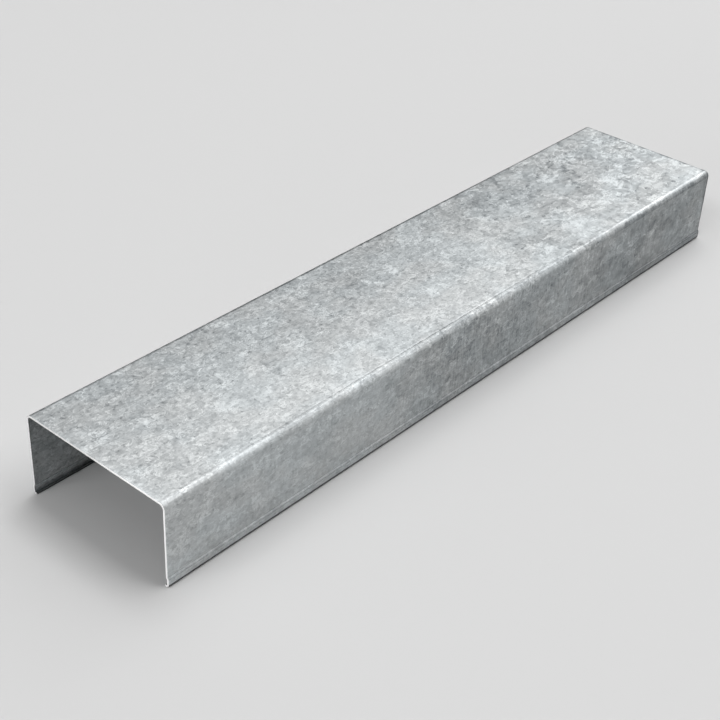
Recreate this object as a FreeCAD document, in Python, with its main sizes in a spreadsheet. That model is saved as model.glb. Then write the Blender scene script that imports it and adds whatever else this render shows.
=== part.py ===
import FreeCAD, Part
import math
import os

import Sketcher

# Drywall track: one strip of galvanised steel, roll formed into a channel and sheared to length.
# It lies as it rests on a floor, with the web on top and the two flanges down.
# Millimetres: X runs along the track, Y across it and Z up. The origin is on the floor, under the middle.

NODE = "track_channel"

# The driving dimensions: alias, value in millimetres or degrees, and what it measures.
DIMENSIONS = (
    ("track_length", 340.0, "from one sheared end to the other"),
    ("web_width", 70.0, "across the outsides of the flanges, under the web"),
    ("track_height", 35.0, "from the floor to the top of the web"),
    ("sheet_thickness", 0.7, "the steel strip, zinc included"),
    ("bend_radius", 1.8, "inside of the bend between web and flange"),
    ("joggle_height", 4.4, "from the floor to where the flange starts to step out"),
    ("joggle_offset", 0.45, "how far the foot of the flange stands out"),
    ("joggle_radius", 0.25, "inside of both bends of the step"),
    ("joggle_angle", 40.0, "slope of the step against the flange"),
    ("curl_radius", 0.5, "inside of the curl along the foot"),
    ("curl_angle", 125.0, "how far the edge is curled in under the flange"),
)

MIDDLE_OF_ARC = 3
START = 1
END = 2
ORIGIN_POINT = (-1, 1)
VERTICAL_AXIS = -2


def make_sheet(document):
    """Writes the driving dimensions into a spreadsheet, one row each, with an alias on the value."""
    sheet = document.addObject("Spreadsheet::Sheet", "dimensions")
    for row, (alias, value, meaning) in enumerate(DIMENSIONS, start=1):
        sheet.set(f"A{row}", alias)
        sheet.set(f"B{row}", str(value))
        sheet.set(f"C{row}", meaning)
        sheet.setAlias(f"B{row}", alias)
    document.recompute()
    return sheet


def half_course(sheet):
    """The strip's course from the middle of the web to the curled edge, as straight runs and bends.

    A run is (name, length). A bend is (name, inside radius, turn): left turns are positive, in degrees.
    """
    thickness = sheet.sheet_thickness
    step = math.radians(sheet.joggle_angle)
    bend_reach = sheet.bend_radius + thickness
    curl_reach = sheet.curl_radius + thickness
    both_radii = 2 * sheet.joggle_radius + thickness
    slope = (sheet.joggle_offset - both_radii * (1 - math.cos(step))) / math.sin(step)
    joggle_drop = both_radii * math.sin(step) + slope * math.cos(step)
    return (
        ("web", sheet.web_width / 2 - bend_reach),
        ("bend", sheet.bend_radius, -90.0),
        ("flange", sheet.track_height - bend_reach - sheet.joggle_height),
        ("step_out", sheet.joggle_radius, sheet.joggle_angle),
        ("slope", slope),
        ("step_down", sheet.joggle_radius, -sheet.joggle_angle),
        ("foot", sheet.joggle_height - joggle_drop - curl_reach),
        ("curl", sheet.curl_radius, -sheet.curl_angle),
    )


def draw_face(sketch, course, start, thickness, outer):
    """Draws one face of the strip along its course. Gives each piece's name, index, first and last point."""
    at = FreeCAD.Vector(*start, 0)
    heading = FreeCAD.Vector(1, 0, 0)
    drawn = {}
    for name, size, *turn in course:
        left = FreeCAD.Vector(-heading.y, heading.x, 0)
        if not turn:
            after = at + heading * size
            drawn[name] = (sketch.addGeometry(Part.LineSegment(at, after)), START, END)
            at = after
            continue
        angle = math.radians(turn[0])
        turns_right = angle < 0
        radius = size + thickness if turns_right == outer else size
        centre = at + left * math.copysign(radius, angle)
        arm = at - centre
        first = math.atan2(arm.y, arm.x)
        sweep = sorted((first, first + angle))
        circle = Part.Circle(centre, FreeCAD.Vector(0, 0, 1), radius)
        points = (END, START) if turns_right else (START, END)
        drawn[name] = (sketch.addGeometry(Part.ArcOfCircle(circle, *sweep)), *points)
        turned = FreeCAD.Rotation(FreeCAD.Vector(0, 0, 1), turn[0])
        at = centre + turned.multVec(arm)
        heading = turned.multVec(heading)
    return drawn


def draw_end(sketch, outer, inner, name, point):
    """Closes the outline across the sheet, between two like ends of its faces."""
    ends = [(face[name][0], face[name][point]) for face in (outer, inner)]
    line = sketch.addGeometry(Part.LineSegment(*[sketch.getPoint(*end) for end in ends]))
    sketch.addConstraint(Sketcher.Constraint("Coincident", line, START, *ends[0]))
    sketch.addConstraint(Sketcher.Constraint("Coincident", line, END, *ends[1]))
    return line


def join_face(sketch, face):
    """Makes each piece of a face run smoothly into the next, with level web and upright flange and foot."""
    pieces = list(face.values())
    for (before, _, last), (after, first, _) in zip(pieces, pieces[1:]):
        sketch.addConstraint(Sketcher.Constraint("Tangent", before, last, after, first))
    sketch.addConstraint(Sketcher.Constraint("Horizontal", face["web"][0]))
    for upright in ("flange", "foot"):
        sketch.addConstraint(Sketcher.Constraint("Vertical", face[upright][0]))
    web, first, _ = face["web"]
    sketch.addConstraint(Sketcher.Constraint("PointOnObject", web, first, VERTICAL_AXIS))


def set_size(sketch, name, rule, kind, *where):
    """Adds a named dimension to the sketch and binds it to a rule on the spreadsheet's values."""
    unit = "deg" if kind == "Angle" else "mm"
    bound = f"({rule}) * 1 {unit}"
    value = sketch.evalExpression(bound)
    index = sketch.addConstraint(Sketcher.Constraint(kind, *where, value))
    sketch.renameConstraint(index, name)
    sketch.setExpression(f"Constraints.{name}", bound)


def draw_half_section(body, sheet):
    """The closed outline of half the section: the sheet from the middle of the web to one curled edge."""
    sketch = body.newObject("Sketcher::SketchObject", "half_section")
    sketch.AttachmentSupport = (origin_plane(body, "YZ_Plane"), "")
    sketch.MapMode = "FlatFace"
    thickness = sheet.sheet_thickness
    course = half_course(sheet)
    outer = draw_face(sketch, course, (0, sheet.track_height), thickness, outer=True)
    inner = draw_face(sketch, course, (0, sheet.track_height - thickness), thickness, outer=False)
    middle = draw_end(sketch, outer, inner, "web", 1)
    edge = draw_end(sketch, outer, inner, "curl", 2)
    join_face(sketch, outer)
    join_face(sketch, inner)
    for bend in ("bend", "step_out", "step_down", "curl"):
        centres = (outer[bend][0], MIDDLE_OF_ARC, inner[bend][0], MIDDLE_OF_ARC)
        sketch.addConstraint(Sketcher.Constraint("Coincident", *centres))
    sketch.addConstraint(Sketcher.Constraint("Parallel", outer["slope"][0], inner["slope"][0]))
    sketch.addConstraint(Sketcher.Constraint("PointOnObject", outer["curl"][0], MIDDLE_OF_ARC, edge))
    size_half_section(sketch, outer, inner, middle)
    return sketch


def size_half_section(sketch, outer, inner, middle):
    """Binds the section's dimensions. The bends share their centres, so one thickness serves throughout."""
    flange, flange_top, flange_foot = outer["flange"]
    foot, foot_top, _ = outer["foot"]
    sizes = (
        ("height", "dimensions.track_height", "DistanceY", *ORIGIN_POINT, middle, START),
        ("thickness", "dimensions.sheet_thickness", "DistanceY", middle, END, middle, START),
        ("half_width", "dimensions.web_width / 2", "DistanceX", *ORIGIN_POINT, flange, flange_top),
        ("bend_radius", "dimensions.bend_radius", "Radius", inner["bend"][0]),
        ("joggle_height", "dimensions.joggle_height", "DistanceY", *ORIGIN_POINT, flange, flange_foot),
        ("joggle_offset", "dimensions.joggle_offset", "DistanceX", flange, flange_foot, foot, foot_top),
        ("step_out_radius", "dimensions.joggle_radius", "Radius", outer["step_out"][0]),
        ("step_down_radius", "dimensions.joggle_radius", "Radius", inner["step_down"][0]),
        ("step_angle", "dimensions.joggle_angle", "Angle", outer["step_out"][0]),
        ("curl_radius", "dimensions.curl_radius", "Radius", inner["curl"][0]),
        ("curl_outside", "dimensions.curl_radius + dimensions.sheet_thickness", "DistanceY",
         *ORIGIN_POINT, outer["curl"][0], MIDDLE_OF_ARC),
        ("curl_angle", "dimensions.curl_angle", "Angle", outer["curl"][0]),
    )
    for size in sizes:
        set_size(sketch, *size)


def origin_plane(body, role):
    """One of the body's own origin planes."""
    return next(plane for plane in body.Origin.OriginFeatures if plane.Role == role)


def make_track(document, sheet):
    """Carries half the section along the track's length, then mirrors it over the middle of the web."""
    body = document.addObject("PartDesign::Body", NODE)
    body.Label = NODE
    sketch = draw_half_section(body, sheet)
    half = body.newObject("PartDesign::Pad", "half_track")
    half.Profile = sketch
    half.Midplane = True
    half.setExpression("Length", "dimensions.track_length")
    whole = body.newObject("PartDesign::Mirrored", "whole_track")
    whole.Originals = [half]
    whole.MirrorPlane = (origin_plane(body, "XZ_Plane"), [""])
    body.Tip = whole
    document.recompute()
    return body


def check(document, body):
    """Stops if any object of the document failed, or if the track isn't one sound solid."""
    failed = [item.Label for item in document.Objects if {"Invalid", "Error"} & set(item.State)]
    if failed:
        raise RuntimeError(f"failed objects: {failed}")
    shape = body.Shape
    if shape.isNull() or not shape.isValid() or len(shape.Solids) != 1:
        raise RuntimeError(f"{body.Label} is not one valid solid")


def main():
    document = FreeCAD.newDocument("drywall_track")
    sheet = make_sheet(document)
    body = make_track(document, sheet)
    check(document, body)
    os.makedirs("parts", exist_ok=True)
    body.Shape.exportStep(f"parts/{body.Label}.step")


main()
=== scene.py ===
import math
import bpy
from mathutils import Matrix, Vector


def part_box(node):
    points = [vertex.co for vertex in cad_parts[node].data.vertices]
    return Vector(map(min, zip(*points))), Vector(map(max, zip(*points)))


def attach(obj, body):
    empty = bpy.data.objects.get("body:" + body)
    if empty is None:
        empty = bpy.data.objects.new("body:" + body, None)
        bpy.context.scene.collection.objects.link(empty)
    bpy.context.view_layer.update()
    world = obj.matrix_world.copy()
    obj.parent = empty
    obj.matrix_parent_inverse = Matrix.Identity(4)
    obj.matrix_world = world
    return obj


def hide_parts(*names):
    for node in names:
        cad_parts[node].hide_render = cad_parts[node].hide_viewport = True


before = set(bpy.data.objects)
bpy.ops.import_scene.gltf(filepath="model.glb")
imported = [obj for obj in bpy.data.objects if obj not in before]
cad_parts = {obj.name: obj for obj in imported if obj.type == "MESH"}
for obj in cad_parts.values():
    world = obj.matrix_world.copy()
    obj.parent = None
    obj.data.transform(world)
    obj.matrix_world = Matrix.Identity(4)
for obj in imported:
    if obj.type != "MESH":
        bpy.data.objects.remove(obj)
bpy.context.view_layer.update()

from types import SimpleNamespace

import bpy
import numpy as np
from mathutils import Matrix, Vector

bl_info = {
    "name": "Drywall Track",
    "version": (1, 0, 0),
    "blender": (4, 5, 0),
    "location": "3D View > Sidebar > Track",
    "description": "A roll-formed drywall track with its galvanised finish, on a plain studio stage",
    "category": "Add Mesh",
}

# The frame's names.
NODE = "track_channel"
BODY = "root"
PIECE = "galvanised_track"

MM = 0.001
TRACK_LOW, TRACK_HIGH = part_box(NODE)

# Steps of the mesh along each stretch of the sheet.
WEB_STEPS = 44
MARGIN_STEPS = 14
FLANGE_STEPS = 22
BEND_STEPS = 16
FOOT_STEPS = 4
JOGGLE_STEPS = 6
SLOPE_STEPS = 1
CURL_STEPS = 16
LENGTH_STEPS = 130
RIM_STEPS = 1
ROUNDING_STEPS = 4

# The order of the track's material slots.
ZINC_FACE = 0
SHEARED_EDGE = 1

# The names of what the track's mesh carries for its materials.
STRIP_MAP = "unrolled_strip"
UPRIGHT = "upright"
BENT = "bent"
MARKED = "roll_marked"

# The roll mark is clearest round this place along the track, and fades over this distance to this share.
MARK_MIDDLE = -20 * MM
MARK_SPREAD = 70 * MM
MARK_LEAST = 0.25

# The middle radius of the sharpest bends, where the sheet counts as fully bent.
SHARP_BEND = 0.6 * MM

# The floor's side, the points along it, and where it has wholly passed into the backdrop, in floor reaches.
FLOOR_SIDE = 20.0
FLOOR_POINTS = 3
FLOOR_END = 2.5

# The camera's sensor in millimetres, and the nearest that it sees in metres.
SENSOR_WIDTH = 36.0
NEAREST_SEEN = 0.01

# The ways that softboxes shine.
DOWN = Vector((0.0, 0.0, -1.0))
TO_FRONT = Vector((-1.0, 0.0, 0.0))
TO_BACK = Vector((1.0, 0.0, 0.0))
FROM_LEFT = Vector((1.0, -1.0, -0.6))
FROM_RIGHT = Vector((-1.0, 1.0, -0.4))

# The softboxes: name, middle, sides, brightness at full level, and the way that each shines.
# Those that overlap hang at different heights, because a ray takes the light of only one of two
# that lie in one plane.
SOFTBOXES = (
    ("overhead_front", (-3.2, 0.0, 3.0), (1.6, 3.2), 4.6, DOWN),
    ("overhead_middle", (0.8, -1.0, 3.1), (1.6, 4.4), 2.6, DOWN),
    ("overhead_top", (0.0, 0.0, 2.95), (3.6, 4.8), 0.5, DOWN),
    ("overhead_right", (3.2, -0.8, 3.05), (4.8, 4.8), 0.7, DOWN),
    ("overhead_back", (3.2, 1.6, 3.0), (4.8, 3.2), 0.7, DOWN),
    ("overhead_far", (4.8, 0.8, 2.9), (1.6, 1.6), 2.0, DOWN),
    ("low_back", (6.0, 2.4, 1.2), (2.4, 2.4), 2.4, TO_FRONT),
    ("low_front", (-5.0, -0.4, 0.5), (5.0, 0.8), 11.0, TO_BACK),
    ("side_left", (-4.2, 4.2, 2.6), (4.0, 3.0), 0.6, FROM_LEFT),
    ("side_right", (4.6, -4.6, 1.8), (4.0, 2.4), 0.4, FROM_RIGHT),
)

# Softboxes that light surfaces but aren't mirrored in them.
UNMIRRORED = ("overhead_front", "overhead_middle", "low_front")


def size_property(name, description, metres):
    """A length in metres, shown in the scene's units."""
    return bpy.props.FloatProperty(
        name=name, description=description, default=metres, min=0.01 * MM, precision=5,
        subtype="DISTANCE", unit="LENGTH")


def angle_property(name, description, degrees):
    """An angle, given in degrees and kept in radians."""
    return bpy.props.FloatProperty(
        name=name, description=description, default=math.radians(degrees), subtype="ANGLE", unit="ROTATION")


def share_property(name, description, value):
    """A number from 0 to 1."""
    return bpy.props.FloatProperty(
        name=name, description=description, default=value, min=0.0, max=1.0, subtype="FACTOR")


def colour_property(name, description, *rgb):
    """A linear colour."""
    return bpy.props.FloatVectorProperty(
        name=name, description=description, default=rgb, size=3, min=0.0, max=1.0, subtype="COLOR")


def place_property(name, description, *metres):
    """A point in the frame, in metres."""
    return bpy.props.FloatVectorProperty(
        name=name, description=description, default=metres, size=3, subtype="XYZ_LENGTH", unit="LENGTH")


class TrackShape(bpy.types.PropertyGroup):
    """The track's section and length."""

    length: size_property("Length", "From one sheared end to the other", TRACK_HIGH.x - TRACK_LOW.x)
    foot_width: size_property(
        "Foot Width", "Across the outsides of the two feet", TRACK_HIGH.y - TRACK_LOW.y)
    height: size_property("Height", "From the floor to the top of the web", TRACK_HIGH.z - TRACK_LOW.z)
    sheet: size_property("Sheet", "Thickness of the steel strip", 0.7 * MM)
    bend_radius: size_property("Bend Radius", "Inside of the bend between web and flange", 1.8 * MM)
    joggle_height: size_property("Joggle Height", "From the floor to where the flange steps out", 4.4 * MM)
    joggle_offset: size_property("Joggle Offset", "How far the foot stands out", 0.45 * MM)
    joggle_radius: size_property("Joggle Radius", "Inside of both bends of the step", 0.25 * MM)
    joggle_angle: angle_property("Joggle Angle", "Slope of the step against the flange", 40)
    curl_radius: size_property("Curl Radius", "Inside of the curl along the foot", 0.5 * MM)
    curl_angle: angle_property("Curl Angle", "How far the edge is curled in", 125)
    rounding: size_property("Edge Rounding", "Radius on the corners of the cut sheet", 0.15 * MM)
    margin: size_property("Margin", "Strip of the web beside each bend that holds the roll mark", 1.4 * MM)
    mark_depth: size_property("Roll Mark Depth", "Depth of the roll mark beside the front bend", 0.05 * MM)
    mark_width: size_property("Roll Mark Width", "Half the width of the roll mark", 0.28 * MM)
    roll_over: size_property("Roll-Over", "How far the shears have drawn the sheet's ends in", 0.12 * MM)
    roll_over_reach: size_property("Roll-Over Reach", "Length of sheet that they have drawn in", 0.8 * MM)


class ZincFinish(bpy.types.PropertyGroup):
    """The hot-dip zinc on the sheet's faces, the bare cut edge, and the painted shadow along the foot."""

    light: colour_property("Light Zinc", "The brightest crystals", 0.668, 0.690, 0.698)
    dark: colour_property("Dark Zinc", "The dullest crystals", 0.204, 0.216, 0.224)
    flake: size_property("Flake", "Size of the larger crystals", 4.0 * MM)
    coarse_flake: size_property("Coarse Flake", "Size of the larger crystals near the far end", 8.0 * MM)
    grain: size_property("Grain", "Size of the small crystals within them", 1.2 * MM)
    cloud: size_property("Cloud", "Size of the broad light and dark patches", 34 * MM)
    relief: size_property("Relief", "Height of the crystals' relief", 0.02 * MM)
    roughness: share_property("Roughness", "Of the middle tone of the zinc", 0.33)
    edge_tint: share_property("Edge Tint", "How much of the reflection is left at a glancing angle", 0.35)
    # Foot is a painted shadow: the dark contact shadow under the curled foot, painted into its colour.
    foot: colour_property("Foot", "The dull zinc under the curled foot", 0.06, 0.062, 0.064)
    cut: colour_property("Cut Edge", "The sheared steel", 0.95, 0.95, 0.95)


class StudioStage(bpy.types.PropertyGroup):
    """Floor, lamps and camera."""

    floor: colour_property("Floor", "Colour of the floor", 0.62, 0.62, 0.62)
    backdrop: colour_property("Backdrop", "What is seen, and mirrored, all round", 0.70, 0.70, 0.70)
    shade: share_property("Shade", "How much of the backdrop's light falls on the floor", 0.14)
    floor_reach: size_property(
        "Floor Reach", "How far from the track the floor starts to pass into the backdrop", 1.0)
    lamp_level: share_property("Lamp Level", "Share of the softboxes' full brightness", 1.0)
    camera_place: place_property("Camera Place", "Where the camera stands", -0.3978, -0.30243, 0.32649)
    camera_turn: angle_property("Camera Turn", "The camera's heading round the vertical", -50.139)
    camera_tilt: angle_property("Camera Tilt", "How far the camera looks down", 33.858)
    camera_roll: angle_property("Camera Roll", "The camera's roll about its line of sight", 2.959)
    lens: bpy.props.FloatProperty(
        name="Lens", description="Focal length on a 36 mm sensor", default=71.337, min=1.0, unit="CAMERA")


def straight(length, steps):
    """A straight run of a course: its length, no turn, and its steps."""
    return length, 0.0, steps


def bend(middle_radius, turn, steps):
    """A bend of a course: the length of its arc, its turn (left is positive) and its steps."""
    return middle_radius * abs(turn), turn, steps


def step_shares(turn, steps):
    """How far along its stretch each step ends, from 0 to 1.

    A bend's steps are even. A straight run's are crowded towards its two ends by half a cosine wave,
    so that the smooth shading of a bend stops where the bend does.
    """
    even = np.linspace(0.0, 1.0, steps + 1)
    return even if turn else (1 - np.cos(np.pi * even)) / 2


def walk(course):
    """Carries a point along a course of straight runs and bends, from 0, 0 and first along the first axis.

    Each step goes along its chord in the direction halfway through its turn. The chord is the arc's length
    times sin(h) / h, with h half the turn, which makes every bend a true circle.
    Gives the points, the left-hand normals, the lengths walked and how fast the course turns at each point,
    by the sharper of the two steps that meet there.
    """
    shares = [(length, turn, step_shares(turn, steps)) for length, turn, steps in course]
    lengths = np.concatenate([length * np.diff(share) for length, _, share in shares])
    turns = np.concatenate([turn * np.diff(share) for _, turn, share in shares])
    headings = np.concatenate([[0.0], np.cumsum(turns)])
    halfway = headings[:-1] + turns / 2
    chords = lengths * np.sinc(turns / (2 * np.pi))
    steps = chords[:, None] * np.stack([np.cos(halfway), np.sin(halfway)], axis=1)
    points = np.concatenate([[[0.0, 0.0]], np.cumsum(steps, axis=0)])
    normals = np.stack([-np.sin(headings), np.cos(headings)], axis=1)
    rates = np.pad(np.abs(turns) / lengths, 1, mode="edge")
    return points, normals, np.concatenate([[0.0], np.cumsum(lengths)]), np.maximum(rates[:-1], rates[1:])


def section_course(shape):
    """The middle line of the sheet from one curled edge over the web to the other.

    One flange is worked out from the web down. The other is the same stretches in the other order,
    because mirroring a bend and walking it backwards each turn its sense round.
    """
    sheet = shape.sheet
    bend_reach = shape.bend_radius + sheet
    both_radii = 2 * shape.joggle_radius + sheet
    step = shape.joggle_angle
    slope = (shape.joggle_offset - both_radii * (1 - math.cos(step))) / math.sin(step)
    joggle_drop = both_radii * math.sin(step) + slope * math.cos(step)
    web_width = shape.foot_width - 2 * shape.joggle_offset
    joggle_radius = shape.joggle_radius + sheet / 2
    flange = [
        bend(shape.bend_radius + sheet / 2, -math.pi / 2, BEND_STEPS),
        straight(shape.height - bend_reach - shape.joggle_height, FLANGE_STEPS),
        bend(joggle_radius, step, JOGGLE_STEPS),
        straight(slope, SLOPE_STEPS),
        bend(joggle_radius, -step, JOGGLE_STEPS),
        straight(shape.joggle_height - joggle_drop - shape.curl_radius - sheet, FOOT_STEPS),
        bend(shape.curl_radius + sheet / 2, -shape.curl_angle, CURL_STEPS),
    ]
    margin = straight(shape.margin, MARGIN_STEPS)
    web = straight(web_width - 2 * (bend_reach + shape.margin), WEB_STEPS)
    return [*reversed(flange), margin, web, margin, *flange]


def section_line(shape):
    """The walked middle line of the section in Y and Z, set upright.

    The web is level, and its middle is over the origin.
    """
    points, normals, lengths, rates = walk(section_course(shape))
    middle = len(points) // 2
    start_turn = shape.curl_angle + math.pi / 2
    cosine = math.cos(start_turn)
    sine = math.sin(start_turn)
    turned = np.array([[cosine, -sine], [sine, cosine]])
    points = points @ turned.T
    normals = normals @ turned.T
    points += np.array([0.0, shape.height - shape.sheet / 2]) - points[middle]
    return points, normals, lengths, rates


def roll_mark(shape, lengths, along):
    """How deep the rolls have pressed the web, in the margin by the front flange.

    Across the margin the depth is a bell curve round its middle. Along the track it falls off from its
    clearest place by another bell curve.
    """
    half_flat = shape.foot_width / 2 - shape.joggle_offset - shape.bend_radius - shape.sheet
    middle = (lengths[0] + lengths[-1]) / 2
    from_mark = middle - lengths - (half_flat - shape.margin / 2)
    depth = shape.mark_depth * np.exp(-(from_mark / shape.mark_width) ** 2)
    fade = MARK_LEAST + (1 - MARK_LEAST) * np.exp(-((along - MARK_MIDDLE) / MARK_SPREAD) ** 2)
    return depth[:, None] * fade


def roll_over(shape, along):
    """How far the shears have drawn the sheet in, by the square of the way into the last stretch."""
    into = 1 - (shape.length / 2 - np.abs(along)) / shape.roll_over_reach
    return shape.roll_over * np.maximum(into, 0.0) ** 2


def rim_loop(shape):
    """The strip's own outline seen from its cut edge: a long thin rectangle with rounded corners.

    It starts at the top of the near end's rim and goes over the outer face to the far end and back under
    the inner face. Gives the place along the track, the height in the sheet and the length walked.
    """
    radius = shape.rounding
    rim = straight(shape.sheet - 2 * radius, RIM_STEPS)
    corner = bend(radius, -math.pi / 2, ROUNDING_STEPS)
    face = straight(shape.length - 2 * radius, LENGTH_STEPS)
    points, _, lengths, _ = walk([corner, face, corner, rim, corner, face, corner, rim])
    heights = points[:, 0] + shape.sheet / 2 - radius
    along = -points[:, 1] - shape.length / 2
    return along[:-1], heights[:-1], lengths


def tip_rows(shape):
    """Rounds the two slit edges: how far each tip row stands out past the edge, and how thick it is there.

    With an angle a that goes from 0 to a right angle, the row stands out by r sin a, and each face
    has drawn in by r (1 - cos a). The thickness is a share of the sheet's own.
    """
    angles = np.linspace(0.0, np.pi / 2, ROUNDING_STEPS + 1)[1:]
    radius = shape.rounding
    return radius * np.sin(angles), 1 - 2 * radius * (1 - np.cos(angles)) / shape.sheet


def track_grid(shape):
    """The track's surface as a grid of points: P(s, l) = C(s) + (h(l) k(s) - m(s, l)) N(s) + x(l) X.

    C is the section's middle line and N its normal, x and h the strip's outline seen from its cut edge,
    k is 1 except where the slit edges are rounded off, and m is the depth of the roll mark and roll-over.
    Gives the points, the two walked lengths, how upright and how bent each row of the sheet is, and
    how clear the roll mark is at each point.
    """
    line, normals, lengths, rates = section_line(shape)
    along, heights, loop_lengths = rim_loop(shape)
    reach, thinning = tip_rows(shape)
    first_heading = np.array([normals[0, 1], -normals[0, 0]])
    last_heading = np.array([normals[-1, 1], -normals[-1, 0]])
    before = line[0] - reach[::-1, None] * first_heading
    after = line[-1] + reach[:, None] * last_heading
    centres = np.concatenate([before, line, after])
    across = np.pad(normals, ((len(reach), len(reach)), (0, 0)), mode="edge")
    thickness = np.concatenate([thinning[::-1], np.ones(len(line)), thinning])
    walked = np.concatenate([lengths[0] - reach[::-1], lengths, lengths[-1] + reach])
    marked = roll_mark(shape, walked, along)
    raised = thickness[:, None] * heights - marked - roll_over(shape, along)
    grid = np.empty((len(centres), len(along), 3))
    grid[:, :, 0] = along
    grid[:, :, 1:] = centres[:, None, :] + raised[:, :, None] * across[:, None, :]
    bent = np.pad(rates, len(reach), mode="edge") * SHARP_BEND
    return grid, walked, loop_lengths, np.abs(across[:, 0]), bent, marked / shape.mark_depth


def grid_faces(rows, columns):
    """Quads between neighbouring rows of a grid whose columns run round and meet."""
    corners = np.arange(rows * columns).reshape(rows, columns)
    following = np.roll(corners, -1, axis=1)
    quads = np.stack([corners[:-1], following[:-1], following[1:], corners[1:]], axis=-1)
    return quads.reshape(-1, 4)


def cap_faces(row, columns):
    """Closes one end row: each column is joined to the one facing it, counted back from the last."""
    first = np.arange(columns // 2 - 1)
    last = columns - 1 - first
    return row * columns + np.stack([first, last, last - 1, first + 1], axis=1)


def face_finishes(rows, cap_count):
    """The material slot of each face: bare steel on the sheared ends, zinc elsewhere."""
    half_loop = [
        (SHEARED_EDGE, ROUNDING_STEPS),
        (ZINC_FACE, LENGTH_STEPS),
        (SHEARED_EDGE, ROUNDING_STEPS + RIM_STEPS),
    ]
    round_once = np.concatenate([np.full(count, finish) for finish, count in half_loop * 2])
    return np.concatenate([np.tile(round_once, rows - 1), np.full(cap_count, ZINC_FACE)]).astype(np.int32)


def write_strip_uv(mesh, walked, loop_lengths, side_count):
    """Writes the unrolled strip. The last column of quads ends at the outline's full length, not at 0."""
    columns = len(loop_lengths) - 1
    corner_vertices = np.empty(len(mesh.loops), dtype=np.int32)
    mesh.loops.foreach_get("vertex_index", corner_vertices)
    row, column = np.divmod(corner_vertices, columns)
    side_corners = np.arange(len(corner_vertices)) < 4 * side_count
    quad_column = (np.arange(len(corner_vertices)) // 4) % columns
    wraps = side_corners & (quad_column == columns - 1) & (column == 0)
    u = np.where(wraps, loop_lengths[-1], loop_lengths[column])
    uv = np.stack([u, walked[row]], axis=1)
    layer = mesh.uv_layers.new(name=STRIP_MAP)
    layer.uv.foreach_set("vector", uv.astype(np.float32).ravel())


def write_values(mesh, name, values):
    """Writes one value for each point as an attribute of the mesh."""
    layer = mesh.attributes.new(name, "FLOAT", "POINT")
    layer.data.foreach_set("value", values.astype(np.float32))


def track_mesh(shape):
    """The whole track as one closed mesh, with its unrolled strip as the UV map.

    The UV map gives metres: U is the length round the strip's outline, and V the length along the section.
    """
    grid, walked, loop_lengths, upright, bent, marked = track_grid(shape)
    rows, columns, _ = grid.shape
    sides = grid_faces(rows, columns)
    caps = np.concatenate([cap_faces(0, columns), cap_faces(rows - 1, columns)[:, ::-1]])
    mesh = bpy.data.meshes.new(PIECE)
    mesh.from_pydata(grid.reshape(-1, 3), [], np.concatenate([sides, caps]))
    mesh.polygons.foreach_set("use_smooth", np.ones(len(mesh.polygons), dtype=bool))
    mesh.polygons.foreach_set("material_index", face_finishes(rows, len(caps)))
    write_strip_uv(mesh, walked, loop_lengths, len(sides))
    write_values(mesh, UPRIGHT, np.repeat(upright, columns))
    write_values(mesh, BENT, np.repeat(bent, columns))
    write_values(mesh, MARKED, marked.ravel())
    mesh.update()
    if mesh.validate(verbose=True):
        raise RuntimeError("the track's mesh had faults")
    return mesh


# The kinds of smooth noise, as (detail, roughness).
PATCH_NOISE = (2.0, 0.5)
SHADE_BREAK_NOISE = (2.0, 0.6)
MOTTLE_NOISE = (2.0, 0.7)
WISP_NOISE = (3.0, 0.55)
CLOUD_NOISE = (3.0, 0.6)
SPECK_NOISE = (3.0, 0.7)

# What noises and chance colours centre on.
MIDDLE = 0.5
MIDDLES = (MIDDLE, MIDDLE, MIDDLE)


def add_node(tree, kind, inputs=None, **settings):
    """Adds a node with its settings, and feeds each named input from a socket or a constant."""
    node = tree.nodes.new(kind)
    for name, value in settings.items():
        setattr(node, name, value)
    for name, value in (inputs or {}).items():
        feed(tree, node.inputs[name], value)
    return node


def feed(tree, target, value):
    """Links a socket to an input, or sets the input to a constant."""
    if isinstance(value, bpy.types.NodeSocket):
        tree.links.new(value, target)
    else:
        target.default_value = value


def maths(tree, operation, *values):
    """A Math node's result."""
    return add_node(tree, "ShaderNodeMath", dict(enumerate(values)), operation=operation).outputs["Value"]


def vectors(tree, operation, *values, output="Vector"):
    """A Vector Math node's result."""
    node = add_node(tree, "ShaderNodeVectorMath", dict(enumerate(values)), operation=operation)
    return node.outputs[output]


def shifted(tree, value, mask, weight):
    """A value with a mask times a weight added to it."""
    return maths(tree, "MULTIPLY_ADD", mask, weight, value)


def both(tree, first, second):
    """The product of two masks."""
    return maths(tree, "MULTIPLY", first, second)


def ramp(tree, value, start, end):
    """Rises smoothly from 0 to 1 while a value goes from start to end."""
    inputs = {"Value": value, "From Min": start, "From Max": end}
    return add_node(tree, "ShaderNodeMapRange", inputs, interpolation_type="SMOOTHSTEP").outputs["Result"]


def blend_value(tree, share, first, second):
    """A value between two others."""
    inputs = {"Factor": share, "A": first, "B": second}
    return add_node(tree, "ShaderNodeMix", inputs, data_type="FLOAT").outputs["Result"]


def blend_colour(tree, share, first, second):
    """A colour between two others."""
    node = add_node(tree, "ShaderNodeMix", {"Factor": share}, data_type="RGBA")
    sockets = {socket.identifier: socket for socket in (*node.inputs, *node.outputs)}
    for name, colour in (("A_Color", first), ("B_Color", second)):
        is_linked = isinstance(colour, bpy.types.NodeSocket)
        feed(tree, sockets[name], colour if is_linked else (*colour, 1.0))
    return sockets["Result_Color"]


def noise(tree, place, kind, output="Fac", dimensions="2D"):
    """Smooth noise of one of the kinds, with a wave about one unit long."""
    detail, roughness = kind
    inputs = {"Vector": place, "Scale": 1.0, "Detail": detail, "Roughness": roughness}
    return add_node(tree, "ShaderNodeTexNoise", inputs, noise_dimensions=dimensions).outputs[output]


def attribute(tree, name):
    """One of the values that the track's mesh carries."""
    return add_node(tree, "ShaderNodeAttribute", attribute_name=name).outputs["Fac"]


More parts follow.
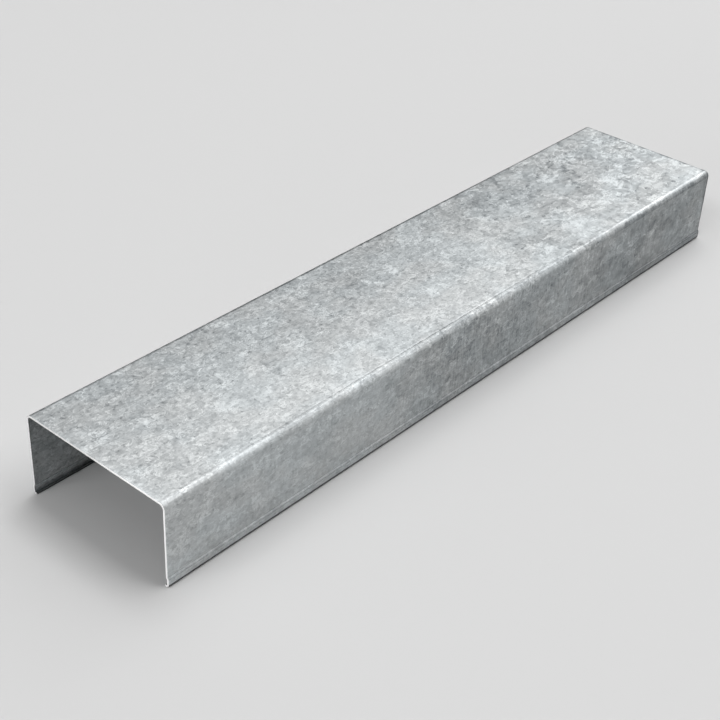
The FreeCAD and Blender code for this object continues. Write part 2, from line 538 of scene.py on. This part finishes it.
def object_place(tree):
    """A point's own place on the object."""
    return add_node(tree, "ShaderNodeTexCoord").outputs["Object"]


def new_group(name, inputs, outputs):
    """An empty shader node group with named sockets, as (tree, sockets given, sockets to fill)."""
    tree = bpy.data.node_groups.new(name, "ShaderNodeTree")
    for socket, kind in inputs.items():
        tree.interface.new_socket(name=socket, in_out="INPUT", socket_type=kind)
    for socket, kind in outputs.items():
        tree.interface.new_socket(name=socket, in_out="OUTPUT", socket_type=kind)
    return tree, tree.nodes.new("NodeGroupInput").outputs, tree.nodes.new("NodeGroupOutput").inputs


def new_material(name):
    """An empty material with its Principled shader, as (material, tree, shader)."""
    material = bpy.data.materials.new(name)
    material.use_nodes = True
    tree = material.node_tree
    return material, tree, tree.nodes["Principled BSDF"]


# How much a crystal shades from one side to the other.
FACET_SHADE = 2.0

# A wisp is where its noise is this near to its middle. Its patches come from a wider noise, moved aside.
WISP_REACH = 0.055
WISP_PATCH_SCALE = (0.45, 0.45, 0.0)
WISP_PATCH_SHIFT = (7.0, 3.0, 0.0)
WISP_PATCH = (0.45, 0.62)

# How far the crystals' outlines wander, in crystals.
FLAKE_WANDER = (1.6, 1.6, 0.0)
GRAIN_WANDER = (2.0, 2.0, 0.0)

# Specks are the lowest parts of a noise, and the hue drifts in patches rather smaller than the clouds.
SPECK = (0.38, 0.28)
PATCH_SCALE = (1.7, 1.7, 0.0)

# What each layer of the crystals adds to the tone.
FLAKE_WEIGHT = 0.18
GRAIN_WEIGHT = 0.2
CLOUD_WEIGHT = 0.3
MOTTLE_WEIGHT = 0.4
WISP_WEIGHT = 0.42
SPECK_WEIGHT = -0.18


def facets(tree, place):
    """A patchwork of crystals about one unit wide, as (shade, parts of a chance colour).

    Each crystal has a chance tone, and shades from one side to the other in a chance direction:
    the dot product of the way from its middle with a chance vector.
    """
    inputs = {"Vector": place, "Scale": 1.0}
    cells = add_node(tree, "ShaderNodeTexVoronoi", inputs, voronoi_dimensions="2D").outputs
    chance = vectors(tree, "SUBTRACT", cells["Color"], MIDDLES)
    from_middle = vectors(tree, "SUBTRACT", place, cells["Position"])
    across = vectors(tree, "DOT_PRODUCT", from_middle, chance, output="Value")
    parts = add_node(tree, "ShaderNodeSeparateColor", {"Color": cells["Color"]}).outputs
    return shifted(tree, parts["Blue"], across, FACET_SHADE), parts


def wisps(tree, place):
    """Thin bright lines, 0 to 1: where a smooth noise passes through its middle value, in patches only."""
    off_middle = maths(tree, "SUBTRACT", noise(tree, place, WISP_NOISE), MIDDLE)
    line = ramp(tree, maths(tree, "ABSOLUTE", off_middle), WISP_REACH, 0.0)
    patch_place = vectors(tree, "MULTIPLY_ADD", place, WISP_PATCH_SCALE, WISP_PATCH_SHIFT)
    return both(tree, line, ramp(tree, noise(tree, patch_place, PATCH_NOISE), *WISP_PATCH))


def layered(tree, layers):
    """Adds up layers that each centre on a half, by their weights, round a middle tone of a half."""
    total = MIDDLE - sum(weight for _, weight in layers) / 2
    for layer, weight in layers:
        total = shifted(tree, total, layer, weight)
    return total


def spangle_group():
    """Zinc crystals: facets of two sizes, bright wisps, dark specks and broad clouds.

    Tone goes round a half. Patch is a slow drift for the hue, and Tilt how each crystal leans.
    """
    tree, given, result = new_group(
        "zinc_spangle",
        {"Place": "NodeSocketVector", "Flake": "NodeSocketFloat", "Grain": "NodeSocketFloat",
         "Cloud": "NodeSocketFloat"},
        {"Tone": "NodeSocketFloat", "Patch": "NodeSocketFloat", "Tilt": "NodeSocketVector"})
    on_flakes, on_grains, on_clouds = [
        vectors(tree, "DIVIDE", given["Place"], given[size]) for size in ("Flake", "Grain", "Cloud")]
    wander = vectors(tree, "SUBTRACT", noise(tree, on_flakes, CLOUD_NOISE, "Color"), MIDDLES)
    flake_place = vectors(tree, "MULTIPLY_ADD", wander, FLAKE_WANDER, on_flakes)
    grain_place = vectors(tree, "MULTIPLY_ADD", wander, GRAIN_WANDER, on_grains)
    flake, flake_parts = facets(tree, flake_place)
    grain, grain_parts = facets(tree, grain_place)
    tone = layered(tree, [
        (flake, FLAKE_WEIGHT), (grain, GRAIN_WEIGHT), (noise(tree, on_clouds, CLOUD_NOISE), CLOUD_WEIGHT),
        (noise(tree, on_grains, MOTTLE_NOISE), MOTTLE_WEIGHT)])
    tone = shifted(tree, tone, wisps(tree, flake_place), WISP_WEIGHT)
    tone = shifted(tree, tone, wisps(tree, grain_place), WISP_WEIGHT)
    tone = shifted(tree, tone, ramp(tree, noise(tree, on_grains, SPECK_NOISE), *SPECK), SPECK_WEIGHT)
    patch = noise(tree, vectors(tree, "MULTIPLY", on_clouds, PATCH_SCALE), PATCH_NOISE)
    chances = {"X": flake_parts["Blue"], "Y": grain_parts["Red"], "Z": grain_parts["Blue"]}
    lean = add_node(tree, "ShaderNodeCombineXYZ", chances).outputs["Vector"]
    tree.links.new(tone, result["Tone"])
    tree.links.new(patch, result["Patch"])
    tree.links.new(vectors(tree, "SUBTRACT", lean, MIDDLES), result["Tilt"])
    return tree


# Where masks rise from 0 to 1: distances from the track's middle, and shares of how bent the sheet is.
OUTER_FACE = (34.7 * MM, 34.95 * MM)
FOLDED = (0.05, 0.2)
SHARPLY_BENT = (0.4, 0.9)
COARSE_CRYSTALS = (-20 * MM, 110 * MM)
PAST_NEAR_END = (-75 * MM, -20 * MM)
FAR_END = (50 * MM, 120 * MM)

# The crystals are drawn out along the strip. Coarse ones have grains this many times as large.
DRAWN_OUT = (0.78, 1.08, 1.0)
COARSE_GRAIN = 2

# What the far end, and the way to it, add to the crystals' contrast.
FAR_CONTRAST = 0.15
HALFWAY_CONTRAST = 1.2

# How far the flanges' crystals are smoothed, and what is added to that past the near end and far off.
FLANGE_SMOOTHING = 0.25
PAST_NEAR_END_SMOOTHING = -0.2
FAR_SMOOTHING = 0.25

# Upright streaks on the flanges: their size, and their weight in the tone.
STREAK_SIZE = (0.9 * MM, 8 * MM, 1.0)
STREAK_WEIGHT = 0.6

# Painted light and shade on the flanges: how much paler they are at the near end, and what is added to that
# past it, which paints shade, and low down, which paints light.
FLANGE_PAINTED_LIGHT = 0.13
PAST_NEAR_END_PAINTED_SHADE = -0.21
LOW_PAINTED_LIGHT = 0.13
LOW_FLANGE = (20 * MM, 4 * MM)

# The web's tone, with painted light that makes it rise from the back flange to the front one.
WEB_PAINTED_LIGHT = (36 * MM, -32 * MM)
WEB_PAINTED_LIGHT_WEIGHT = 0.18
WEB_WEIGHT = -0.06

# Painted shade on the folds' crests, by how upright the sheet is, less at both ends and a painted highlight
# at the far end; painted shade below the crest there.
CREST = (0.7, 0.45)
CREST_SHADE = -0.26
CREST_ENDS = (50 * MM, 130 * MM)
CREST_ENDS_LIGHT = 0.16
CREST_FAR_LIGHT = 0.19
BELOW_CREST = (0.6, 0.75)
BELOW_CREST_FAR_SHADE = -0.25

# Painted shade on the last millimetre of the far end's rim, and in the roll mark outside the breaks.
FAR_RIM = (168.4 * MM, 169.4 * MM)
FAR_RIM_SHADE = -0.4
ROLL_MARK_UNBROKEN = (0.62, 0.42)
ROLL_MARK_SHADE = -0.45

# Breaks in the painted shade on the sharp bends and in the roll mark: the size of their noise, its range,
# and where along the track they set in.
SHADE_BREAK_SIZE = (2.5 * MM, 6 * MM, 1.0)
SHADE_BREAK_RANGE = (0.48, 0.62)
SHADE_BREAK_REACH = (90 * MM, 30 * MM)

# Painted shade on the sharp bends, which dims the joggle's highlight, and how much less of it there is in
# its breaks.
SHARP_BEND_SHADE = 0.42
SHADE_BREAK_WEIGHT = -0.2

# Painted shadow along the foot: dark up to about this height inside the flange, and this much higher
# outside.
FOOT_PAINTED_SHADOW = (0.8 * MM, 0.3 * MM)
OUTER_FOOT_RISE = 0.7 * MM

# The slow drift of hue between two tints of the zinc, and of its roughness. Sharp bends are rougher.
HUE_DRIFT = (0.35, 0.65)
WARM_TINT = (0.995, 0.993, 0.985)
COOL_TINT = (0.98, 0.997, 1.0)
ROUGHNESS_DRIFT = 0.16
SHARP_ROUGHNESS = 0.25

# How far the crystals lean.
LEAN = (0.05, 0.05, 0.05)


def sheet_masks(tree):
    """A place's coordinates on the track, and masks from 0 to 1 that say which part of the sheet it is on.

    Outside is 1 on the flanges' outer faces, and outer_side takes in the folds by how upright they are.
    """
    where = add_node(tree, "ShaderNodeSeparateXYZ", {"Vector": object_place(tree)}).outputs
    bent = attribute(tree, BENT)
    upright = attribute(tree, UPRIGHT)
    outside = ramp(tree, maths(tree, "ABSOLUTE", where["Y"]), *OUTER_FACE)
    folded = ramp(tree, bent, *FOLDED)
    return SimpleNamespace(
        x=where["X"], y=where["Y"], z=where["Z"], upright=upright, outside=outside, folded=folded,
        level=maths(tree, "SUBTRACT", 1.0, upright),
        outer_side=both(tree, upright, maths(tree, "MAXIMUM", outside, folded)),
        sharp=both(tree, ramp(tree, bent, *SHARPLY_BENT), outside),
        far=ramp(tree, where["X"], *COARSE_CRYSTALS),
        past_near_end=ramp(tree, where["X"], *PAST_NEAR_END),
        far_end=ramp(tree, where["X"], *FAR_END))


def strip_crystals(tree, finish, strip):
    """The outputs of the fine and of the coarse crystals on the strip."""
    group = spangle_group()
    drawn = vectors(tree, "MULTIPLY", strip, DRAWN_OUT)
    sizes = ((finish.flake, finish.grain), (finish.coarse_flake, COARSE_GRAIN * finish.grain))
    return [
        add_node(tree, "ShaderNodeGroup", node_tree=group, inputs={
            "Place": drawn, "Flake": flake, "Grain": grain, "Cloud": finish.cloud}).outputs
        for flake, grain in sizes]


def crystal_tone(tree, masks, fine, coarse):
    """Passes from fine crystals to coarse ones along the track, with the most contrast on the way."""
    tone = blend_value(tree, masks.far, fine["Tone"], coarse["Tone"])
    halfway = both(tree, masks.far, maths(tree, "SUBTRACT", 1.0, masks.far))
    contrast = maths(tree, "MULTIPLY_ADD", masks.far, FAR_CONTRAST, 1.0)
    contrast = shifted(tree, contrast, halfway, HALFWAY_CONTRAST)
    return maths(tree, "MULTIPLY_ADD", maths(tree, "SUBTRACT", tone, MIDDLE), contrast, MIDDLE)


def flange_streaks_and_painted_light(tree, masks, strip, tone):
    """Smooths the flanges' crystals and streaks them past the near end. Paints light on the near and low
    parts, and shade further back.
    """
    smooth = maths(tree, "MULTIPLY_ADD", masks.past_near_end, PAST_NEAR_END_SMOOTHING, FLANGE_SMOOTHING)
    smooth = shifted(tree, smooth, masks.far, FAR_SMOOTHING)
    tone = blend_value(tree, both(tree, masks.outer_side, smooth), tone, MIDDLE)
    streak = noise(tree, vectors(tree, "DIVIDE", strip, STREAK_SIZE), CLOUD_NOISE)
    streaked = both(tree, masks.upright, masks.past_near_end)
    streak = both(tree, maths(tree, "SUBTRACT", streak, MIDDLE), streaked)
    tone = shifted(tree, tone, streak, STREAK_WEIGHT)
    # Painted light and shade on the flanges' outer sides: paler near the end and low down, darker further
    # back.
    pale = maths(tree, "MULTIPLY_ADD", masks.past_near_end, PAST_NEAR_END_PAINTED_SHADE, FLANGE_PAINTED_LIGHT)
    pale = shifted(tree, pale, ramp(tree, masks.z, *LOW_FLANGE), LOW_PAINTED_LIGHT)
    return shifted(tree, tone, pale, masks.outer_side)


def web_painted_light_and_shade(tree, masks, break_field, tone):
    """Paints light on the web towards the front flange, and paints shade in its roll mark and on the far
    end's rim.
    """
    across = maths(tree, "MULTIPLY_ADD", ramp(tree, masks.y, *WEB_PAINTED_LIGHT), WEB_PAINTED_LIGHT_WEIGHT, WEB_WEIGHT)
    tone = shifted(tree, tone, across, masks.level)
    # Painted shade on the far end's rim and in the roll mark's groove.
    tone = shifted(tree, tone, ramp(tree, masks.x, *FAR_RIM), FAR_RIM_SHADE)
    marked = both(tree, attribute(tree, MARKED), ramp(tree, break_field, *ROLL_MARK_UNBROKEN))
    return shifted(tree, tone, marked, ROLL_MARK_SHADE)


def fold_painted_light_and_shade(tree, masks, tone):
    """Paints shade on the folds' crests, less at both ends and turning to a painted highlight at the far
    end, and paints shade below the far end's crest.
    """
    ends = ramp(tree, maths(tree, "ABSOLUTE", masks.x), *CREST_ENDS)
    crest = maths(tree, "MULTIPLY_ADD", ends, CREST_ENDS_LIGHT, CREST_SHADE)
    crest = shifted(tree, crest, masks.far_end, CREST_FAR_LIGHT)
    on_crest = both(tree, masks.folded, ramp(tree, masks.upright, *CREST))
    tone = shifted(tree, tone, on_crest, crest)
    below_crest = both(tree, masks.folded, ramp(tree, masks.upright, *BELOW_CREST))
    return shifted(tree, tone, both(tree, below_crest, masks.far_end), BELOW_CREST_FAR_SHADE)


def zinc_colour(tree, finish, tone, patch):
    """The colour of a tone between dark and light zinc, in a slow drift from a warm tint to a cool one."""
    colour = blend_colour(tree, tone, finish.dark, finish.light)
    tint = blend_colour(tree, ramp(tree, patch, *HUE_DRIFT), WARM_TINT, COOL_TINT)
    return vectors(tree, "MULTIPLY", colour, tint)


def painted_shade_colour(tree, finish, masks, break_field, colour):
    """Paints shade on the sharp bends, less in its breaks, and paints a shadow along the foot."""
    breaks = both(tree, ramp(tree, break_field, *SHADE_BREAK_RANGE), ramp(tree, masks.x, *SHADE_BREAK_REACH))
    dull = both(tree, masks.sharp, maths(tree, "MULTIPLY_ADD", breaks, SHADE_BREAK_WEIGHT, SHARP_BEND_SHADE))
    shaded_bends = blend_colour(tree, dull, colour, finish.dark)
    # The painted shadow along the foot, rising higher on the outside.
    height = shifted(tree, masks.z, masks.outside, -OUTER_FOOT_RISE)
    return blend_colour(tree, ramp(tree, height, *FOOT_PAINTED_SHADOW), shaded_bends, finish.foot)


def crystal_normal(tree, finish, tone, tilt):
    """The normal, leaning with each crystal and with the relief of the tone."""
    facing = add_node(tree, "ShaderNodeNewGeometry").outputs["Normal"]
    leaning = vectors(tree, "NORMALIZE", vectors(tree, "MULTIPLY_ADD", tilt, LEAN, facing))
    inputs = {"Strength": 1.0, "Distance": finish.relief, "Height": tone, "Normal": leaning}
    return add_node(tree, "ShaderNodeBump", inputs).outputs["Normal"]


def zinc_material(finish):
    """Hot-dip zinc on the faces of the sheet.

    The crystals make a tone, which the flanges, the web and the folds each shift with painted light and
    shade, and the flanges with smoothing and streaks too. The tone picks a colour between dark and light
    zinc, and is the height of the relief. Painted shade then darkens the sharp bends and the foot.
    """
    material, tree, shader = new_material("hot_dip_zinc")
    strip = add_node(tree, "ShaderNodeUVMap", uv_map=STRIP_MAP).outputs["UV"]
    masks = sheet_masks(tree)
    # A noise whose high parts break the painted shade on the sharp bends and in the roll mark.
    break_field = noise(tree, vectors(tree, "DIVIDE", strip, SHADE_BREAK_SIZE), SHADE_BREAK_NOISE)
    fine, coarse = strip_crystals(tree, finish, strip)
    tone = crystal_tone(tree, masks, fine, coarse)
    tone = flange_streaks_and_painted_light(tree, masks, strip, tone)
    tone = web_painted_light_and_shade(tree, masks, break_field, tone)
    tone = fold_painted_light_and_shade(tree, masks, tone)
    colour = zinc_colour(tree, finish, tone, fine["Patch"])
    least_rough = finish.roughness - ROUGHNESS_DRIFT / 2
    roughness = maths(tree, "MULTIPLY_ADD", fine["Patch"], ROUGHNESS_DRIFT, least_rough)
    tree.links.new(painted_shade_colour(tree, finish, masks, break_field, colour), shader.inputs["Base Color"])
    tree.links.new(shifted(tree, roughness, masks.sharp, SHARP_ROUGHNESS), shader.inputs["Roughness"])
    tree.links.new(crystal_normal(tree, finish, tone, fine["Tilt"]), shader.inputs["Normal"])
    shader.inputs["Metallic"].default_value = 1.0
    shader.inputs["Specular Tint"].default_value = (*[finish.edge_tint] * 3, 1.0)
    return material


# The cut edge: its fine marks' size, range and weight, and where across the track painted light brightens
# it.
CUT_MARK_SIZE = (0.3 * MM, 0.3 * MM, 0.3 * MM)
CUT_MARKS = (0.3, 0.6)
CUT_MARK_WEIGHT = 0.5
CUT_PAINTED_LIGHT = (4 * MM, -16 * MM)
CUT_PAINTED_LIGHT_WEIGHT = 0.8

# The share of the cut's colour that is left where no painted light falls, and how metallic and how rough the
# cut is.
CUT_PAINTED_SHADE = 0.6
CUT_METALLIC = 0.3
CUT_ROUGHNESS = 0.3
CUT_MARK_ROUGHNESS = 0.2


def cut_material(finish):
    """Bare steel where the sheet was sheared, with fine marks, and painted light that brightens it towards
    the front flange.
    """
    material, tree, shader = new_material("sheared_steel")
    place = object_place(tree)
    across = add_node(tree, "ShaderNodeSeparateXYZ", {"Vector": place}).outputs["Y"]
    marks = noise(tree, vectors(tree, "DIVIDE", place, CUT_MARK_SIZE), CLOUD_NOISE, dimensions="3D")
    bright = maths(tree, "MULTIPLY", ramp(tree, marks, *CUT_MARKS), CUT_MARK_WEIGHT)
    # Painted light: the cut is brighter towards the front flange.
    bright = shifted(tree, bright, ramp(tree, across, *CUT_PAINTED_LIGHT), CUT_PAINTED_LIGHT_WEIGHT)
    dull = [CUT_PAINTED_SHADE * part for part in finish.cut]
    roughness = maths(tree, "MULTIPLY_ADD", marks, CUT_MARK_ROUGHNESS, CUT_ROUGHNESS)
    tree.links.new(blend_colour(tree, bright, dull, finish.cut), shader.inputs["Base Color"])
    tree.links.new(roughness, shader.inputs["Roughness"])
    shader.inputs["Metallic"].default_value = CUT_METALLIC
    return material


def seen_rays(tree):
    """1 for what is seen, straight, mirrored or through glass, and 0 for light that falls on a surface."""
    ray = add_node(tree, "ShaderNodeLightPath").outputs
    seen = maths(tree, "MAXIMUM", ray["Is Camera Ray"], ray["Is Glossy Ray"])
    return maths(tree, "MAXIMUM", seen, ray["Is Transmission Ray"])


def floor_mesh():
    """A level square at height 0, as an even grid of points."""
    span = np.linspace(-FLOOR_SIDE / 2, FLOOR_SIDE / 2, FLOOR_POINTS)
    x, y = np.meshgrid(span, span)
    points = np.stack([x, y, np.zeros_like(x)], axis=-1).reshape(-1, 3)
    corners = np.arange(FLOOR_POINTS ** 2).reshape(FLOOR_POINTS, FLOOR_POINTS)
    faces = np.stack([corners[:-1, :-1], corners[:-1, 1:], corners[1:, 1:], corners[1:, :-1]], axis=-1)
    mesh = bpy.data.meshes.new("studio_floor")
    mesh.from_pydata(points, [], faces.reshape(-1, 4).tolist())
    return mesh


def floor_material(stage):
    """A matt floor, which passes into the backdrop well away from the track."""
    material, tree, shader = new_material("pale_floor")
    shader.inputs["Base Color"].default_value = (*stage.floor, 1.0)
    shader.inputs["Roughness"].default_value = 1.0
    shader.inputs["Specular IOR Level"].default_value = 0.0
    away = vectors(tree, "LENGTH", object_place(tree), output="Value")
    passed = both(tree, ramp(tree, away, stage.floor_reach, FLOOR_END * stage.floor_reach), seen_rays(tree))
    backdrop = add_node(tree, "ShaderNodeEmission", {"Color": (*stage.backdrop, 1.0)}).outputs["Emission"]
    inputs = {0: passed, 1: shader.outputs["BSDF"], 2: backdrop}
    surface = add_node(tree, "ShaderNodeMixShader", inputs).outputs["Shader"]
    tree.links.new(surface, tree.nodes["Material Output"].inputs["Surface"])
    return material


def make_floor(stage):
    """A wide level floor."""
    mesh = floor_mesh()
    mesh.materials.append(floor_material(stage))
    floor = bpy.data.objects.new("studio_floor", mesh)
    bpy.context.scene.collection.objects.link(floor)


def make_lamp(name, place, sides, brightness, towards):
    """A softbox that faces one way. An even brightness takes a power of brightness x pi x area."""
    light = bpy.data.lights.new(name, "AREA")
    light.shape = "RECTANGLE"
    light.size, light.size_y = sides
    light.energy = brightness * math.pi * sides[0] * sides[1]
    lamp = bpy.data.objects.new(name, light)
    lamp.location = place
    lamp.rotation_euler = towards.to_track_quat("-Z", "Y").to_euler()
    lamp.visible_camera = False
    lamp.visible_glossy = name not in UNMIRRORED
    bpy.context.scene.collection.objects.link(lamp)


def make_sky(stage):
    """A pale backdrop all round, as the camera and the metal see it. Less of its light falls on surfaces."""
    world = bpy.data.worlds.new("pale_backdrop")
    world.use_nodes = True
    tree = world.node_tree
    strength = maths(tree, "MULTIPLY_ADD", seen_rays(tree), 1 - stage.shade, stage.shade)
    background = tree.nodes["Background"]
    background.inputs["Color"].default_value = (*stage.backdrop, 1.0)
    tree.links.new(strength, background.inputs["Strength"])
    bpy.context.scene.world = world


def make_camera(stage):
    """The camera, turned to its heading, tipped down and rolled."""
    data = bpy.data.cameras.new("track_camera")
    data.sensor_width = SENSOR_WIDTH
    data.lens = stage.lens
    data.clip_start = NEAREST_SEEN
    camera = bpy.data.objects.new("track_camera", data)
    heading = Matrix.Rotation(stage.camera_turn, 4, "Z")
    tilt = Matrix.Rotation(math.pi / 2 - stage.camera_tilt, 4, "X")
    roll = Matrix.Rotation(stage.camera_roll, 4, "Z")
    camera.matrix_world = Matrix.Translation(stage.camera_place) @ heading @ tilt @ roll
    bpy.context.scene.collection.objects.link(camera)
    bpy.context.scene.camera = camera


class TRACK_OT_make_track(bpy.types.Operator):
    """Makes the track's sheet from its section, with its zinc and its cut edges"""

    bl_idname = "drywall_track.make_track"
    bl_label = "Make Track"

    def execute(self, context):
        mesh = track_mesh(context.scene.track_shape)
        mesh.materials.append(zinc_material(context.scene.zinc_finish))
        mesh.materials.append(cut_material(context.scene.zinc_finish))
        track = bpy.data.objects.new(PIECE, mesh)
        context.scene.collection.objects.link(track)
        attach(track, BODY)
        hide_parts(NODE)
        return {"FINISHED"}


class TRACK_OT_set_stage(bpy.types.Operator):
    """Sets up the floor, the lamps, the sky and the camera"""

    bl_idname = "drywall_track.set_stage"
    bl_label = "Set Stage"

    def execute(self, context):
        stage = context.scene.studio_stage
        make_floor(stage)
        make_sky(stage)
        for name, place, sides, brightness, towards in SOFTBOXES:
            make_lamp(name, place, sides, stage.lamp_level * brightness, towards)
        make_camera(stage)
        context.scene.view_settings.view_transform = "Standard"
        return {"FINISHED"}


class TRACK_PT_sidebar(bpy.types.Panel):
    """Lists the track's operators and their settings."""

    bl_label = "Drywall Track"
    bl_idname = "TRACK_PT_sidebar"
    bl_space_type = "VIEW_3D"
    bl_region_type = "UI"
    bl_category = "Track"

    def draw(self, context):
        scene = context.scene
        for operator, groups in (
            (TRACK_OT_make_track, (scene.track_shape, scene.zinc_finish)),
            (TRACK_OT_set_stage, (scene.studio_stage,)),
        ):
            self.layout.operator(operator.bl_idname)
            for group in groups:
                for name in group.__annotations__:
                    self.layout.prop(group, name)


CLASSES = (TrackShape, ZincFinish, StudioStage, TRACK_OT_make_track, TRACK_OT_set_stage, TRACK_PT_sidebar)


def register():
    """Registers the classes, and gives every scene the settings."""
    for each in CLASSES:
        bpy.utils.register_class(each)
    bpy.types.Scene.track_shape = bpy.props.PointerProperty(type=TrackShape)
    bpy.types.Scene.zinc_finish = bpy.props.PointerProperty(type=ZincFinish)
    bpy.types.Scene.studio_stage = bpy.props.PointerProperty(type=StudioStage)


def unregister():
    """Takes back what register did."""
    del bpy.types.Scene.studio_stage
    del bpy.types.Scene.zinc_finish
    del bpy.types.Scene.track_shape
    for each in reversed(CLASSES):
        bpy.utils.unregister_class(each)


def main():
    """Makes the track and its stage."""
    register()
    bpy.ops.drywall_track.make_track()
    bpy.ops.drywall_track.set_stage()


if __name__ == "__main__":
    main()
